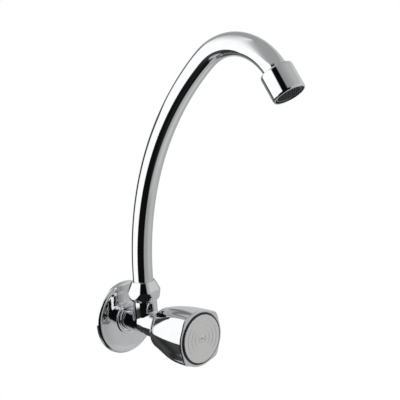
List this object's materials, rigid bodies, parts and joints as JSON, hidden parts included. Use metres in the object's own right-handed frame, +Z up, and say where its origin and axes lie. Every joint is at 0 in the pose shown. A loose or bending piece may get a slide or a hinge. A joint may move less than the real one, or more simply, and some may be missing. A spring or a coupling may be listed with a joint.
{
  "type": "wall-mounted sink tap",
  "caption": "Chromed wall-mounted sink tap with a swivelling swan-neck spout, aerator, lobed knob and screw-down valve.",
  "frame": {"origin": "where the inlet axis meets the wall", "axes": "+Y along the inlet into the wall, +Z up, the tap reaches out along -Y"},
  "size_m": [0.06, 0.2093, 0.2523],
  "materials": {
    "chromed_brass": "polished chrome plating on brass",
    "chromed_abs": "chrome plating on moulded ABS",
    "satin_chromed_abs": "satin chrome plating on moulded ABS",
    "dark_blue_plastic": "moulded",
    "raw_brass": "turned",
    "red_fibre": "vulcanised fibre",
    "white_nylon": "moulded",
    "black_rubber": "moulded nitrile rubber",
    "steel": "stainless",
    "grey_plastic": "moulded"
  },
  "bodies": {
    "tap_body": {"body_casting": "chromed_brass", "wall_flange": "chromed_brass", "bonnet": "raw_brass", "bonnet_gasket": "red_fibre", "spout_nut": "chromed_brass", "lower_slip_ring": "white_nylon", "upper_slip_ring": "white_nylon", "thrust_washer": "white_nylon"},
    "plunger": {"valve_plunger": "raw_brass", "seat_washer": "black_rubber", "washer_screw": "raw_brass"},
    "handle": {"spindle": "raw_brass", "spindle_o_rings": "black_rubber", "spindle_clip": "steel", "handle_knob": "chromed_abs", "spline_bush": "white_nylon", "handle_screw": "steel", "index_ring": "dark_blue_plastic", "index_disc": "satin_chromed_abs"},
    "spout": {"spout_tube": "chromed_brass", "spout_tail": "raw_brass", "tail_o_rings": "black_rubber", "outlet_ferrule": "raw_brass", "aerator_shell": "chromed_brass", "aerator_gasket": "black_rubber", "aerator_insert": "grey_plastic", "aerator_screen": "steel", "mouth_ring": "black_rubber"}
  },
  "joints": [
    {"name": "spout_swivel", "type": "hinge", "parent": "tap_body", "child": "spout", "pos_m": [0, -0.026, 0.03], "axis": [0, 0, 1], "range_deg": [-90, 90]},
    {"name": "handle_turn", "type": "hinge", "parent": "tap_body", "child": "handle", "pos_m": [0, -0.05, 0], "axis": [0, -1, 0], "range_deg": [0, 600]},
    {"name": "valve_lift", "type": "slide", "parent": "tap_body", "child": "plunger", "axis": [0, -1, 0], "range_m": [0, 0.00334]}
  ],
  "couplings": [
    {"joint": "valve_lift", "follows": "handle_turn", "m_per_rad": 0.000318}
  ]
}
